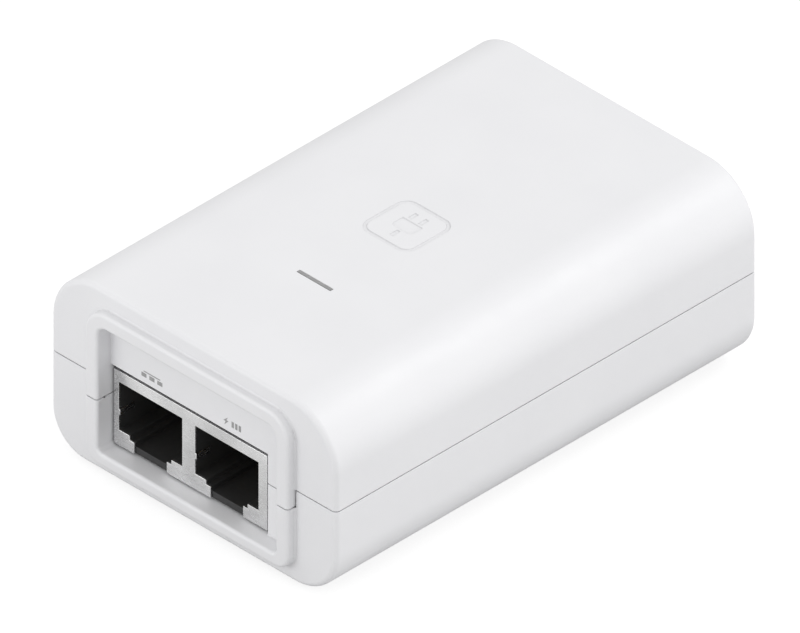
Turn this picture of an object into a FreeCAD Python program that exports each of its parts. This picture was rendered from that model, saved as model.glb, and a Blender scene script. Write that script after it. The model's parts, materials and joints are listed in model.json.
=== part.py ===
import FreeCAD, Part

import math
import os

import Sketcher
from FreeCAD import Placement, Rotation, Vector

# A mains-powered PoE injector, in millimetres.
# +X is right, +Y runs from the ports to the mains inlet, +Z is up. The origin is the middle of the
# footprint, level with the soles of the rubber feet. Heights on the sheet are measured from the
# underside of the case, and each sub-part is then raised by the thickness of the feet.

CASE_SIZES = {
    "case_width": 52.2,
    "case_length": 77.1,
    "case_height": 28.9,
    "case_wall": 1.8,
    "end_wall": 2.8,
    "foot_stand": 0.5,
    "top_edge_radius": 8.5,
    "base_left_radius": 6.0,
    "base_right_radius": 7.6,
    "end_edge_radius": 0.8,
    "parting_height": 14.7,
    "parting_gap": 0.15,
    "lip_height": 1.4,
    "lip_thickness": 0.8,
    "lip_clearance": 0.1,
    "bezel_width": 37.2,
    "bezel_low": 2.1,
    "bezel_high": 26.2,
    "bezel_proud": 1.4,
    "bezel_radius": 3.8,
    "bezel_base_radius": 2.4,
    "bezel_edge_radius": 0.5,
    "bezel_parting": 12.05,
    "bezel_rim": 2.3,
    "bezel_foot_radius": 0.3,
    "recess_depth": 2.55,
    "recess_low": 4.0,
    "recess_radius": 1.6,
    "recess_low_radius": 0.8,
    "foot_radius": 3.6,
    "foot_socket_depth": 0.6,
    "foot_x": 14.0,
    "foot_inset": 8.5,
    "slit_x": 1.3,
    "slit_y": -17.6,
    "slit_length": 6.2,
    "slit_width": 0.6,
    "badge_x": 1.1,
    "badge_y": -0.6,
    "badge_half": 4.6,
    "badge_corner": 2.0,
    "badge_line": 0.5,
    "badge_depth": 0.15,
    "plug_width": 3.6,
    "plug_length": 2.2,
    "plug_corner": 0.6,
    "plug_gap": 0.35,
    "prong_width": 0.6,
    "prong_length": 1.4,
    "prong_spread": 0.95,
    "post_radius": 2.4,
    "peg_radius": 1.15,
    "peg_clearance": 0.15,
    "peg_rise": 0.8,
    "post_x": 19.0,
    "post_front_y": -17.6,
    "post_back_y": 19.6,
}

JACK_SIZES = {
    "window_width": 28.74,
    "window_high": 16.75,
    "window_gap": 0.35,
    "jack_high": 16.1,
    "jack_depth": 18.2,
    "jack_setback": 0.25,
    "jack_x": -2.3,
    "shield_thickness": 0.25,
    "shield_clearance": 0.02,
    "port_pitch": 13.97,
    "port_width": 11.6,
    "port_top": 14.35,
    "port_shoulder": 6.75,
    "port_depth": 13.0,
    "latch_step_low": 6.05,
    "latch_step_width": 7.6,
    "latch_low": 5.35,
    "latch_width": 5.95,
    "ground_tab_height": 0.9,
    "ground_tab_length": 2.6,
    "ground_tab_low": 9.1,
    "contact_pitch": 1.02,
    "contact_radius": 0.18,
    "contact_length": 8.4,
    "contact_slope": 26.0,
    "hinge_back": 1.9,
    "hinge_drop": 0.75,
    "carrier_width": 10.6,
    "carrier_height": 6.0,
    "carrier_depth": 3.4,
    "solder_pin_radius": 0.22,
    "solder_hole_radius": 0.3,
    "solder_pin_low": 2.2,
    "solder_row_back": 0.7,
    "solder_row_pitch": 2.0,
}

INLET_SIZES = {
    "inlet_width": 21.6,
    "inlet_low": 5.6,
    "inlet_high": 22.9,
    "inlet_depth": 18.9,
    "inlet_setback": 0.2,
    "inlet_runner": 3.0,
    "runner_inset": 3.4,
    "cavity_depth": 13.5,
    "lobe_radius": 4.6,
    "pin_spread": 4.1,
    "pin_low": 11.7,
    "pin_rise": 5.4,
    "pin_radius": 1.15,
    "pin_reach": 10.5,
    "pin_tail": 1.0,
}

BOARD_SIZES = {
    "board_width": 42.4,
    "board_front": -35.4,
    "board_back": 35.4,
    "board_low": 2.7,
    "board_top": 4.3,
    "board_radius": 2.0,
    "sheet_thickness": 0.3,
    "sheet_width": 32.4,
    "sheet_length": 44.0,
    "sheet_y": 12.0,
    "led_length": 3.2,
    "led_width": 1.6,
    "led_height": 1.1,
    "pipe_air_gap": 0.3,
    "pipe_flange": 1.2,
    "pipe_flange_length": 8.2,
    "pipe_flange_width": 2.0,
    "pipe_foot_length": 4.2,
    "pipe_clearance": 0.05,
    "leg_side": 0.6,
    "leg_height": 1.5,
    "gull_length": 0.8,
    "gull_height": 0.3,
    "core_leg": 4.5,
    "core_thickness": 6.0,
    "core_yoke": 2.0,
    "winding_gap": 0.1,
    "bobbin_plate": 1.2,
    "ring_core": 3.0,
    "ring_wire": 1.1,
    "ring_split": 3.0,
    "tab_thickness": 1.3,
    "fin_thickness": 1.2,
    "fin_reach": 2.4,
    "crimp_depth": 0.35,
    "crimp_width": 0.8,
    "crimp_height": 2.4,
    "drum_flange": 1.4,
    "drum_waist": 2.4,
    "outcap_pitch": 8.2,
}

# Parts on the board: middle in X and Y, then width along X, length along Y and height.
BOARD_PARTS = {
    "fuse": (-16.8, 32.2, 6.4, 6.4, 7.8),
    "thermistor": (-16.8, 27.0, 9.0, 3.4, 9.4),
    "bridge": (-16.4, 23.0, 8.6, 3.8, 8.2),
    "xcap": (16.8, 27.8, 8.0, 13.0, 13.5),
    "bulkcap": (-14.9, 8.1, 12.6, 18.0, 12.6),
    "choke": (4.0, 13.0, 15.0, 7.6, 15.0),
    "trafo": (3.2, -1.2, 17.6, 15.0, 16.4),
    "transistor": (16.4, 9.8, 4.4, 10.2, 12.6),
    "heatsink": (19.6, 9.8, 1.8, 17.0, 15.6),
    "ycap": (-9.8, -5.2, 7.6, 3.6, 8.6),
    "opto": (-17.2, -6.8, 6.4, 4.6, 3.6),
    "pwm": (-4.6, -13.4, 3.9, 4.9, 1.5),
    "diode": (17.6, -3.4, 5.2, 7.6, 5.2),
    "outcap": (17.0, -31.4, 8.0, 8.0, 13.6),
    "inductor": (16.8, -11.8, 8.6, 8.6, 9.6),
    "magnetics": (-14.4, -12.9, 12.8, 6.4, 5.6),
    "poechip": (9.6, -14.0, 5.0, 5.0, 0.9),
}

CONTACTS_PER_PORT = 8
FIN_COUNT = 4
OUTPUT_CANS = 2

# Legs and pins are set out as fractions of a part's width or length from its middle.
DISC_LEG_SPREAD = 0.28
FUSE_LEGS = [(-0.3, 0), (0.3, 0)]
BRIDGE_LEGS = [(-0.4, 0), (-0.13, 0), (0.13, 0), (0.4, 0)]
X_CAPACITOR_LEGS = [(0, -0.4), (0, 0.4)]
TRANSISTOR_LEGS = (-0.25, 0, 0.25)

SHARP = (None, None, None, None)
SLACK = 1e-4
UP = Vector(0, 0, 1)
ALONG_Y = Vector(0, 1, 0)

DOC = FreeCAD.newDocument("poe_injector")
DIMS = DOC.addObject("Spreadsheet::Sheet", "dims")
PIECES = []


class Size:
    """A length as its value and as the sheet expression that drives it."""

    def __init__(self, number, text):
        self.number = number
        self.text = text

    def joined(self, sign, other, number):
        other_text = other.text if isinstance(other, Size) else repr(other)
        return Size(number, f"({self.text} {sign} {other_text})")

    def __add__(self, other):
        return self.joined("+", other, self.number + plain(other))

    def __sub__(self, other):
        return self.joined("-", other, self.number - plain(other))

    def __mul__(self, other):
        return self.joined("*", other, self.number * plain(other))

    def __truediv__(self, other):
        return self.joined("/", other, self.number / plain(other))

    def __rsub__(self, number):
        return Size(number - self.number, f"({number!r} - {self.text})")

    def __neg__(self):
        return 0.0 - self


def plain(length):
    """The value of a Size, or the number itself."""
    return length.number if isinstance(length, Size) else length


def size(alias):
    """A driving dimension from the sheet."""
    return Size(float(getattr(DIMS, alias)), f"dims.{alias}")


def fill_sheet():
    """Writes every driving dimension to the sheet as plain text with an alias."""
    rows = {**CASE_SIZES, **JACK_SIZES, **INLET_SIZES, **BOARD_SIZES}
    for name, measures in BOARD_PARTS.items():
        for field, measure in zip(("x", "y", "width", "length", "height"), measures):
            rows[f"{name}_{field}"] = measure
    for number, (alias, measure) in enumerate(rows.items(), start=1):
        DIMS.set(f"A{number}", alias.replace("_", " "))
        DIMS.set(f"B{number}", str(measure))
        DIMS.setAlias(f"B{number}", alias)
    DOC.recompute()


def drive(item, **properties):
    """Binds properties of an object to the sheet."""
    for name, length in properties.items():
        if isinstance(length, Size):
            item.setExpression(name, length.text)
        else:
            setattr(item, name, length)


def place(item, x=0.0, y=0.0, z=0.0):
    """Binds an object's position to the sheet."""
    for axis, length in zip("xyz", (x, y, z)):
        text = length.text if isinstance(length, Size) else repr(float(length))
        item.setExpression(f"Placement.Base.{axis}", text)


# ---- sub-parts ----


def piece(label, *shapes):
    """A sub-part of one or more separate solids, raised by the feet."""
    group = DOC.addObject("Part::Compound", f"{label}_piece")
    group.Links = list(shapes)
    place(group, z=size("foot_stand"))
    group.Label = label
    PIECES.append(group)


def new_body(label):
    """A sub-part made as a body, raised by the feet."""
    body = DOC.addObject("PartDesign::Body", f"{label}_body")
    place(body, z=size("foot_stand"))
    body.Label = label
    PIECES.append(body)
    return body


def box(name, width, length, height, x, y, z):
    """A block whose footprint is centred on x and y, and which stands on z."""
    block = DOC.addObject("Part::Box", name)
    drive(block, Length=width, Width=length, Height=height)
    place(block, x - width / 2, y - length / 2, z)
    return block


def cylinder(name, radius, height, x, y, z, axis=UP):
    """A cylinder that starts at x, y, z and runs along the axis."""
    rod = DOC.addObject("Part::Cylinder", name)
    drive(rod, Radius=radius, Height=height)
    rod.Placement = Placement(Vector(), Rotation(UP, axis))
    place(rod, x, y, z)
    return rod


def fuse(name, *shapes):
    """One solid from several that meet."""
    joined = DOC.addObject("Part::MultiFuse", name)
    joined.Shapes = list(shapes)
    return joined


def cut(name, base, tool):
    """The base with the tool taken away."""
    result = DOC.addObject("Part::Cut", name)
    result.Base = base
    result.Tool = tool
    return result


# ---- sketches and features ----


def new_sketch(body, name, role, offset=None):
    """A sketch on one of the body's origin planes, moved along the plane's normal by the offset."""
    sketch = body.newObject("Sketcher::SketchObject", name)
    plane = next(item for item in body.Origin.OriginFeatures if item.Role == role)
    sketch.AttachmentSupport = [(plane, "")]
    sketch.MapMode = "FlatFace"
    if offset is not None:
        sketch.setExpression("AttachmentOffset.Base.z", offset.text)
    return sketch


def bind(sketch, constraint, tag, length):
    """Adds a named constraint and drives it from the sheet."""
    index = sketch.addConstraint(constraint)
    sketch.renameConstraint(index, tag)
    if isinstance(length, Size):
        sketch.setExpression(f"Constraints.{tag}", length.text)


def corner_arc(centre, radius, corner):
    """The quarter circle at a corner, counted anticlockwise from the lower left."""
    start = math.pi * (1 + corner / 2)
    circle = Part.Circle(centre, UP, radius)
    return Part.ArcOfCircle(circle, start, start + math.pi / 2)


def outline(sketch, tag, left, low, right, high, radii=SHARP):
    """A closed rectangle. Its corner radii run anticlockwise from the lower left, None being sharp."""
    reach = [plain(radius) if radius is not None else 0.0 for radius in radii]
    west, south, east, north = (plain(edge) for edge in (left, low, right, high))
    corners = [Vector(west, south), Vector(east, south), Vector(east, north), Vector(west, north)]
    along = [Vector(1, 0), Vector(0, 1), Vector(-1, 0), Vector(0, -1)]
    sides = []
    for side in range(4):
        after = (side + 1) % 4
        start = corners[side] + along[side] * reach[side]
        end = corners[after] - along[side] * reach[after]
        sides.append(sketch.addGeometry(Part.LineSegment(start, end), False))
    for corner, radius in enumerate(radii):
        before = sides[corner - 1]
        if radius is None:
            sketch.addConstraint(Sketcher.Constraint("Coincident", before, 2, sides[corner], 1))
            continue
        centre = corners[corner] + (along[corner] - along[corner - 1]) * reach[corner]
        arc = sketch.addGeometry(corner_arc(centre, reach[corner], corner), False)
        sketch.addConstraint(Sketcher.Constraint("Tangent", before, 2, arc, 1))
        sketch.addConstraint(Sketcher.Constraint("Tangent", arc, 2, sides[corner], 1))
        bind(sketch, Sketcher.Constraint("Radius", arc, reach[corner]), f"{tag}_radius{corner}", radius)
    for side, direction in enumerate(("Horizontal", "Vertical", "Horizontal", "Vertical")):
        sketch.addConstraint(Sketcher.Constraint(direction, sides[side]))
    bind(sketch, Sketcher.Constraint("DistanceY", sides[0], 1, south), f"{tag}_low", low)
    bind(sketch, Sketcher.Constraint("DistanceX", sides[1], 1, east), f"{tag}_right", right)
    bind(sketch, Sketcher.Constraint("DistanceY", sides[2], 1, north), f"{tag}_high", high)
    bind(sketch, Sketcher.Constraint("DistanceX", sides[3], 1, west), f"{tag}_left", left)


def circle(sketch, tag, x, y, radius):
    """A circle with its centre and radius tied to the sheet."""
    centre = Vector(plain(x), plain(y))
    ring = sketch.addGeometry(Part.Circle(centre, UP, plain(radius)), False)
    bind(sketch, Sketcher.Constraint("Radius", ring, plain(radius)), f"{tag}_radius", radius)
    bind(sketch, Sketcher.Constraint("DistanceX", ring, 3, plain(x)), f"{tag}_x", x)
    bind(sketch, Sketcher.Constraint("DistanceY", ring, 3, plain(y)), f"{tag}_y", y)


def extrude(body, kind, sketch, length, symmetric=False, backwards=False):
    """A Pad or a Pocket of a sketch. A Pocket has to take material away."""
    before = body.Tip.Shape.Volume if body.Tip else 0.0
    feature = body.newObject(f"PartDesign::{kind}", f"{kind}_{sketch.Name}")
    feature.Profile = sketch
    feature.setExpression("Length", length.text)
    feature.SideType = "Symmetric" if symmetric else "One side"
    feature.Reversed = backwards
    DOC.recompute()
    if kind == "Pocket" and not feature.Shape.Volume < before:
        raise ValueError(f"{feature.Name} takes nothing away")
    return feature


def round_edges(body, name, radius, wanted):
    """Fillets every edge of the body's present shape for which wanted(edge) is true."""
    tip = body.Tip
    names = [f"Edge{n}" for n, edge in enumerate(tip.Shape.Edges, start=1) if wanted(edge)]
    feature = body.newObject("PartDesign::Fillet", name)
    feature.Base = (tip, names)
    feature.setExpression("Radius", radius.text)
    DOC.recompute()
    return feature


def lies_on(edge, axis, level):
    """True if the whole edge lies at this level on the axis."""
    box_ = edge.BoundBox
    ends = {"y": (box_.YMin, box_.YMax), "z": (box_.ZMin, box_.ZMax)}[axis]
    return all(abs(end - level) < SLACK for end in ends)


# ---- case ----


def shell_section(body, name, low, high, radii, parting):
    """The half case as a solid bar, with its long outer edges and its end edges rounded."""
    half = size("case_width") / 2
    sketch = new_sketch(body, f"{name}_section", "XZ_Plane")
    outline(sketch, "section", -half, low, half, high, radii)
    extrude(body, "Pad", sketch, size("case_length"), symmetric=True)
    end = plain(size("case_length")) / 2
    round_edges(
        body,
        f"{name}_end_edges",
        size("end_edge_radius"),
        lambda edge: (lies_on(edge, "y", end) or lies_on(edge, "y", -end))
        and not lies_on(edge, "z", plain(parting)),
    )


def shell_bezels(body, name, low, high, radii, joined, bezel_parting):
    """The raised bezels on both ends, as one bar through the case, with a hollow radius at their foot.

    joined is the range of heights where a bezel's side grows out of its own half of the case.
    """
    half = size("bezel_width") / 2
    sketch = new_sketch(body, f"{name}_bezels", "XZ_Plane")
    outline(sketch, "bezel", -half, low, half, high, radii)
    extrude(body, "Pad", sketch, size("case_length") + size("bezel_proud") * 2, symmetric=True)
    end, reach = plain(size("case_length")) / 2, plain(half) + SLACK
    bottom, top = (plain(level) for level in joined)

    def at_foot(edge):
        box_ = edge.BoundBox
        across = -reach < box_.XMin and box_.XMax < reach
        upright = bottom - SLACK < box_.ZMin and box_.ZMax < top + SLACK
        on_end = lies_on(edge, "y", end) or lies_on(edge, "y", -end)
        return across and upright and on_end and not lies_on(edge, "z", plain(bezel_parting))

    round_edges(body, f"{name}_bezel_foot", size("bezel_foot_radius"), at_foot)


def shell_cavity(body, name, low, high, radii):
    """The hollow inside, with thicker walls at the ends for the recesses."""
    half = size("case_width") / 2 - size("case_wall")
    sketch = new_sketch(body, f"{name}_cavity", "XZ_Plane")
    outline(sketch, "cavity", -half, low, half, high, radii)
    extrude(body, "Pocket", sketch, size("case_length") - size("end_wall") * 2, symmetric=True)


def end_pocket(body, name, front, face, depth, draw):
    """A pocket cut into the front or back, starting at a distance from the middle of the case."""
    sketch = new_sketch(body, name, "XZ_Plane", face if front else -face)
    draw(sketch)
    extrude(body, "Pocket", sketch, depth, backwards=not front)


def recess_half_width():
    """Half the width of the panel inside a bezel's rim."""
    return size("bezel_width") / 2 - size("bezel_rim")


def draw_recess(sketch):
    """The sunk panel inside a bezel's rim."""
    half = recess_half_width()
    high = size("bezel_high") - size("bezel_rim")
    upper, lower = size("recess_radius"), size("recess_low_radius")
    outline(sketch, "recess", -half, size("recess_low"), half, high, (lower, lower, upper, upper))


def draw_jack_window(sketch):
    """The opening that the jack shows through, in the recess's lower left corner."""
    left = -recess_half_width()
    right = left + size("window_width")
    corner = (size("recess_low_radius"), None, None, None)
    outline(sketch, "window", left, size("recess_low"), right, size("window_high"), corner)


def draw_inlet_window(sketch):
    """The opening that the mains inlet shows through."""
    gap = size("window_gap")
    half = size("inlet_width") / 2 + gap
    outline(sketch, "window", -half, size("inlet_low") - gap, half, size("inlet_high") + gap)


def bezel_edges(edge):
    """The outer and inner edges of the bezels' front faces, but not those on the parting plane."""
    face = plain(size("case_length")) / 2 + plain(size("bezel_proud"))
    parting = plain(size("bezel_parting"))
    half_gap = plain(size("parting_gap")) / 2
    on_face = lies_on(edge, "y", face) or lies_on(edge, "y", -face)
    on_parting = lies_on(edge, "z", parting - half_gap) or lies_on(edge, "z", parting + half_gap)
    return on_face and not on_parting


def shell_ends(body, name):
    """Recesses, windows and softened edges on both ends of a half case."""
    bezel_face = size("case_length") / 2 + size("bezel_proud")
    recess_floor = bezel_face - size("recess_depth")
    through = size("case_wall") * 2
    for end, front in (("front", True), ("back", False)):
        end_pocket(body, f"{name}_{end}_recess", front, bezel_face, size("recess_depth"), draw_recess)
    end_pocket(body, f"{name}_jack_window", True, recess_floor, through, draw_jack_window)
    end_pocket(body, f"{name}_inlet_window", False, recess_floor, through, draw_inlet_window)
    round_edges(body, f"{name}_bezel_edges", size("bezel_edge_radius"), bezel_edges)


def lip_ring(body, name, kind, level, height, clearance):
    """The locating lip round the top of the tub, added with a Pad or cleared with a Pocket."""
    inner_x = size("case_width") / 2 - size("case_wall") - clearance
    inner_y = size("case_length") / 2 - size("end_wall") - clearance
    thickness = size("lip_thickness") + clearance * 2
    outer_x, outer_y = inner_x + thickness, inner_y + thickness
    sketch = new_sketch(body, name, "XY_Plane", level)
    outline(sketch, "inner", -inner_x, -inner_y, inner_x, inner_y)
    outline(sketch, "outer", -outer_x, -outer_y, outer_x, outer_y)
    extrude(body, kind, sketch, height, backwards=kind == "Pocket")


def clear_tabs(body, name, low, high):
    """Makes room in the end walls for the tabs of the upper half."""
    tab = size("bezel_width") / 2 + size("parting_gap")
    sketch = new_sketch(body, name, "XZ_Plane")
    outline(sketch, "room", -tab, low, tab, high)
    extrude(body, "Pocket", sketch, size("case_length"), symmetric=True)


def board_posts(body):
    """Four posts that carry the board, each with a peg through it."""
    wall = size("case_wall")
    posts = new_sketch(body, "board_posts", "XY_Plane", wall)
    pegs = new_sketch(body, "board_pegs", "XY_Plane", wall)
    for tag, x, y in post_places():
        circle(posts, tag, x, y, size("post_radius"))
        circle(pegs, tag, x, y, size("peg_radius"))
    extrude(body, "Pad", posts, size("board_low") - wall)
    extrude(body, "Pad", pegs, size("board_top") + size("peg_rise") - wall)


def bottom_shell():
    """The lower half: tub, lower bezels, locating lip, board posts and foot sockets."""
    body = new_body("bottom_shell")
    wall = size("case_wall")
    parting = size("parting_height") - size("parting_gap") / 2
    bezel_parting = size("bezel_parting") - size("parting_gap") / 2
    left, right = size("base_left_radius"), size("base_right_radius")
    bezel_base = size("bezel_base_radius")
    shell_section(body, "lower", 0.0, parting, (left, right, None, None), parting)
    low = size("bezel_low")
    radii = (bezel_base, bezel_base, None, None)
    shell_bezels(body, "lower", low, bezel_parting, radii, (low, bezel_parting), bezel_parting)
    shell_cavity(body, "lower", wall, parting, (left - wall, right - wall, None, None))
    lip_height = size("lip_height")
    lip_ring(body, "lower_lip", "Pad", parting - lip_height, lip_height * 2, 0.0)
    clear_tabs(body, "lower_tab_room", bezel_parting, parting + lip_height)
    shell_ends(body, "lower")
    board_posts(body)
    sockets = new_sketch(body, "foot_sockets", "XY_Plane")
    for tag, x, y in foot_places():
        circle(sockets, tag, x, y, size("foot_radius") + size("lip_clearance"))
    extrude(body, "Pocket", sockets, size("foot_socket_depth"), backwards=True)


def top_shell():
    """The upper half: lid, upper bezels, indicator slit, lip room and the sunk badge."""
    body = new_body("top_shell")
    wall = size("case_wall")
    parting = size("parting_height") + size("parting_gap") / 2
    bezel_parting = size("bezel_parting") + size("parting_gap") / 2
    roof = size("case_height")
    edge, bezel_edge = size("top_edge_radius"), size("bezel_radius")
    shell_section(body, "upper", parting, roof, (None, None, edge, edge), parting)
    tab = size("bezel_width") / 2
    sketch = new_sketch(body, "upper_tabs", "XZ_Plane")
    outline(sketch, "tab", -tab, bezel_parting, tab, parting + wall)
    extrude(body, "Pad", sketch, size("case_length"), symmetric=True)
    high = size("bezel_high")
    radii = (None, None, bezel_edge, bezel_edge)
    shell_bezels(body, "upper", bezel_parting, high, radii, (parting, high), bezel_parting)
    shell_cavity(body, "upper", bezel_parting - wall, roof - wall, (None, None, edge - wall, edge - wall))
    shell_ends(body, "upper")
    clearance = size("lip_clearance")
    room = size("lip_height") + clearance * 2
    lip_ring(body, "upper_lip_room", "Pocket", parting - clearance, room, clearance)
    slit = new_sketch(body, "indicator_slit", "XY_Plane", roof)
    slit_rectangle(slit, size("slit_length") / 2, size("slit_width") / 2)
    extrude(body, "Pocket", slit, wall * 2)
    badge = new_sketch(body, "badge", "XY_Plane", roof)
    draw_badge(badge)
    extrude(body, "Pocket", badge, size("badge_depth"))


def draw_badge(sketch):
    """A sunk plug pictogram in a rounded frame. The plug's prongs, body and lead stand a little apart."""
    x, y = size("badge_x"), size("badge_y")
    for tag, half in (("outer", size("badge_half")), ("inner", size("badge_half") - size("badge_line"))):
        radius = size("badge_corner") + half - size("badge_half")
        outline(sketch, tag, x - half, y - half, x + half, y + half, (radius, radius, radius, radius))
    half, gap = size("prong_width") / 2, size("plug_gap")
    low, high = y - size("plug_length") / 2, y + size("plug_length") / 2
    corner = size("plug_corner")
    outline(
        sketch, "plug", x - size("plug_width") / 2, low, x + size("plug_width") / 2, high,
        (corner, corner, None, None),
    )
    for tag, prong in (("left", x - size("prong_spread")), ("right", x + size("prong_spread"))):
        top = high + gap + size("prong_length")
        outline(sketch, f"{tag}_prong", prong - half, high + gap, prong + half, top)
    outline(sketch, "lead", x - half, low - gap - size("prong_length"), x + half, low - gap)


def slit_rectangle(sketch, half_length, half_width):
    """A rectangle about the middle of the indicator slit."""
    x, y = size("slit_x"), size("slit_y")
    outline(sketch, "slit", x - half_length, y - half_width, x + half_length, y + half_width)


def foot_places():
    """A tag and the middle of each rubber foot."""
    x = size("foot_x")
    y = size("case_length") / 2 - size("foot_inset")
    return [("a", -x, -y), ("b", x, -y), ("c", x, y), ("d", -x, y)]


def post_places():
    """A tag and the middle of each board post."""
    x, front, back = size("post_x"), size("post_front_y"), size("post_back_y")
    return [("a", -x, front), ("b", x, front), ("c", x, back), ("d", -x, back)]


def rubber_feet():
    """Four round feet, pressed into shallow sockets under the case."""
    height = size("foot_stand") + size("foot_socket_depth")
    bottom = -size("foot_stand")
    feet = [
        cylinder(f"foot_{tag}", size("foot_radius"), height, x, y, bottom) for tag, x, y in foot_places()
    ]
    piece("rubber_feet", *feet)


def led_light_pipe():
    """A clear bar in the slit, on a flange under the roof and a stem that narrows to the LED."""
    body = new_body("led_light_pipe")
    roof = size("case_height")
    flange_top = roof - size("case_wall") - size("pipe_clearance")
    flange_low = flange_top - size("pipe_flange")
    stem_low = size("board_top") + size("led_height") + size("pipe_air_gap")
    half_width = size("pipe_flange_width") / 2
    foot = new_sketch(body, "pipe_foot", "XY_Plane", stem_low)
    slit_rectangle(foot, size("pipe_foot_length") / 2, half_width)
    head = new_sketch(body, "pipe_head", "XY_Plane", flange_low)
    slit_rectangle(head, size("pipe_flange_length") / 2, half_width)
    stem = body.newObject("PartDesign::AdditiveLoft", "pipe_stem")
    stem.Profile = foot
    stem.Sections = [head]
    DOC.recompute()
    flange = new_sketch(body, "pipe_flange", "XY_Plane", flange_low)
    slit_rectangle(flange, size("pipe_flange_length") / 2, half_width)
    extrude(body, "Pad", flange, size("pipe_flange"))
    bar = new_sketch(body, "pipe_bar", "XY_Plane", flange_low)
    clearance = size("pipe_clearance")
    slit_rectangle(bar, size("slit_length") / 2 - clearance, size("slit_width") / 2 - clearance)
    extrude(body, "Pad", bar, roof - flange_low)


# ---- network jack ----


def jack_face():
    """How far in front of the middle the jack's shield stands."""
    floor = size("case_length") / 2 + size("bezel_proud") - size("recess_depth")
    return floor - size("jack_setback")


def port_middles():
    """The middle of each port along X."""
    half = size("port_pitch") / 2
    return {"lan": size("jack_x") - half, "poe": size("jack_x") + half}


def port_pockets(body, name, face, depth, latch_low):
    """Cuts both ports: the plug's own space and the two steps down to its latch."""
    shoulder, step_low = size("port_shoulder"), size("latch_step_low")
    levels = (
        ("plug", size("port_width"), shoulder, size("port_top")),
        ("step", size("latch_step_width"), step_low, shoulder),
        ("latch", size("latch_width"), latch_low, step_low),
    )
    for tag, width, low, high in levels:
        sketch = new_sketch(body, f"{name}_{tag}", "XZ_Plane", face)
        for port, middle in port_middles().items():
            outline(sketch, port, middle - width / 2, low, middle + width / 2, high)
        extrude(body, "Pocket", sketch, depth)


def jack_outline(sketch, inset):
    """The jack's cross-section, moved in from the shield's outside by the inset."""
    left = -recess_half_width() + size("window_gap") + inset
    right = -recess_half_width() + size("window_width") - size("window_gap") - inset
    outline(sketch, "jack", left, size("board_top"), right, size("jack_high") - inset)


def jack_shield():
    """A folded metal cover over the jack. Its latch notches are open at the bottom edge."""
    body = new_body("jack_shield")
    thickness = size("shield_thickness")
    outside = new_sketch(body, "shield_outside", "XZ_Plane", jack_face())
    jack_outline(outside, 0.0)
    extrude(body, "Pad", outside, size("jack_depth"), backwards=True)
    inside = new_sketch(body, "shield_inside", "XZ_Plane", jack_face() - thickness)
    jack_outline(inside, thickness)
    extrude(body, "Pocket", inside, size("jack_depth"))
    port_pockets(body, "shield", jack_face(), thickness, size("recess_low"))
    tabs = new_sketch(body, "ground_tabs", "XZ_Plane", jack_face())
    low = size("ground_tab_low")
    for port, middle in port_middles().items():
        left = middle - size("port_width") / 2
        outline(tabs, port, left, low, left + thickness, low + size("ground_tab_height"))
    extrude(body, "Pad", tabs, size("ground_tab_length"), backwards=True)


def jack_housing():
    """The moulded block inside the shield, with its ports and the sockets for the contact carriers."""
    body = new_body("jack_housing")
    inset = size("shield_thickness") + size("shield_clearance")
    face = jack_face() - inset
    block = new_sketch(body, "housing_block", "XZ_Plane", face)
    jack_outline(block, inset)
    extrude(body, "Pad", block, size("jack_depth") - inset, backwards=True)
    port_pockets(body, "housing", face, size("port_depth"), size("latch_low"))
    clearance = size("lip_clearance")
    half = size("carrier_width") / 2 + clearance
    back = jack_face() - size("jack_depth") + size("carrier_depth") + clearance
    sockets = new_sketch(body, "carrier_sockets", "XZ_Plane", back)
    for port, middle in port_middles().items():
        top = size("board_top") + size("carrier_height") + clearance
        outline(sockets, port, middle - half, size("board_top"), middle + half, top)
    extrude(body, "Pocket", sockets, size("carrier_depth") + clearance)


def contact_middles(port):
    """The middle of each contact wire of a port along X."""
    first = port_middles()[port] - size("contact_pitch") * (CONTACTS_PER_PORT - 1) / 2
    return [first + size("contact_pitch") * number for number in range(CONTACTS_PER_PORT)]


def contact_springs(port):
    """A port's sprung wires, which slope down and back from round bends near the mouth."""
    slope = math.radians(plain(size("contact_slope")))
    direction = Vector(0, math.cos(slope), -math.sin(slope))
    y = size("hinge_back") - jack_face()
    z = size("port_top") - size("hinge_drop")
    radius = size("contact_radius")
    wires = []
    for number, x in enumerate(contact_middles(port)):
        name = f"{port}_wire{number}"
        rod = cylinder(f"{name}_rod", radius, size("contact_length"), x, y, z, direction)
        bend = cylinder(f"{name}_bend", radius, radius * 2, x - radius, y, z, Vector(1, 0, 0))
        wires.append(fuse(name, rod, bend))
    piece(f"{port}_contact_springs", *wires)


def contact_leads():
    """The fixed run of each contact wire, along the roof of its port."""
    radius = size("contact_radius")
    start = size("hinge_back") - jack_face()
    end = size("port_depth") + size("shield_thickness") - jack_face()
    z = size("port_top") - radius - size("shield_clearance")
    runs = []
    for port in port_middles():
        for number, x in enumerate(contact_middles(port)):
            name = f"{port}_lead{number}"
            runs.append(cylinder(name, radius, end - start, x, start, z, ALONG_Y))
    piece("contact_leads", *runs)


def carrier_back():
    """How far behind the front the carriers end, along Y."""
    return size("jack_depth") - jack_face()


def contact_carriers():
    """The two moulded blocks at the back of the jack that hold the wires' tails."""
    depth = size("carrier_depth")
    y = carrier_back() - depth / 2
    blocks = [
        box(f"{port}_carrier", size("carrier_width"), depth, size("carrier_height"), x, y, size("board_top"))
        for port, x in port_middles().items()
    ]
    piece("contact_carriers", *blocks)


def solder_pin_places():
    """A tag and the place of each solder pin, in two staggered rows per port."""
    places = []
    for port in port_middles():
        for number, x in enumerate(contact_middles(port)):
            row = size("solder_row_back") + size("solder_row_pitch") * (number % 2)
            places.append((f"{port}{number}", x, carrier_back() - row))
    return places


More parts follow.
